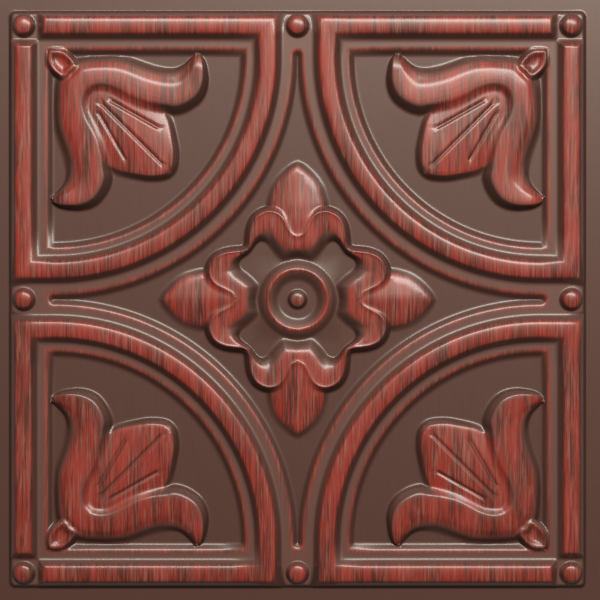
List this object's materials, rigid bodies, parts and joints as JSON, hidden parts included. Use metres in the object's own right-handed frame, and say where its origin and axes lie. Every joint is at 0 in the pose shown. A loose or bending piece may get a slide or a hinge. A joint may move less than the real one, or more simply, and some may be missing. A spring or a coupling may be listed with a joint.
{
  "type": "pressed tin ceiling tile",
  "caption": "Square pressed tin ceiling tile: thin painted sheet with a flat rim, quarter-round panels with tulips, a star field and a rosette, hollow from behind.",
  "frame": {"origin": "middle of the tile, on the plane of its flat back rim", "axes": "+Z out of the ornamented face, +X and +Y along the two sides of the square, +Y towards the top of the picture"},
  "size_m": [0.603, 0.603, 0.0116],
  "materials": {
    "painted_tin": "satin, brown with dry-brushed red on the raised relief"
  },
  "bodies": {
    "root": {"pressed_tile": "painted_tin"}
  },
  "joints": []
}
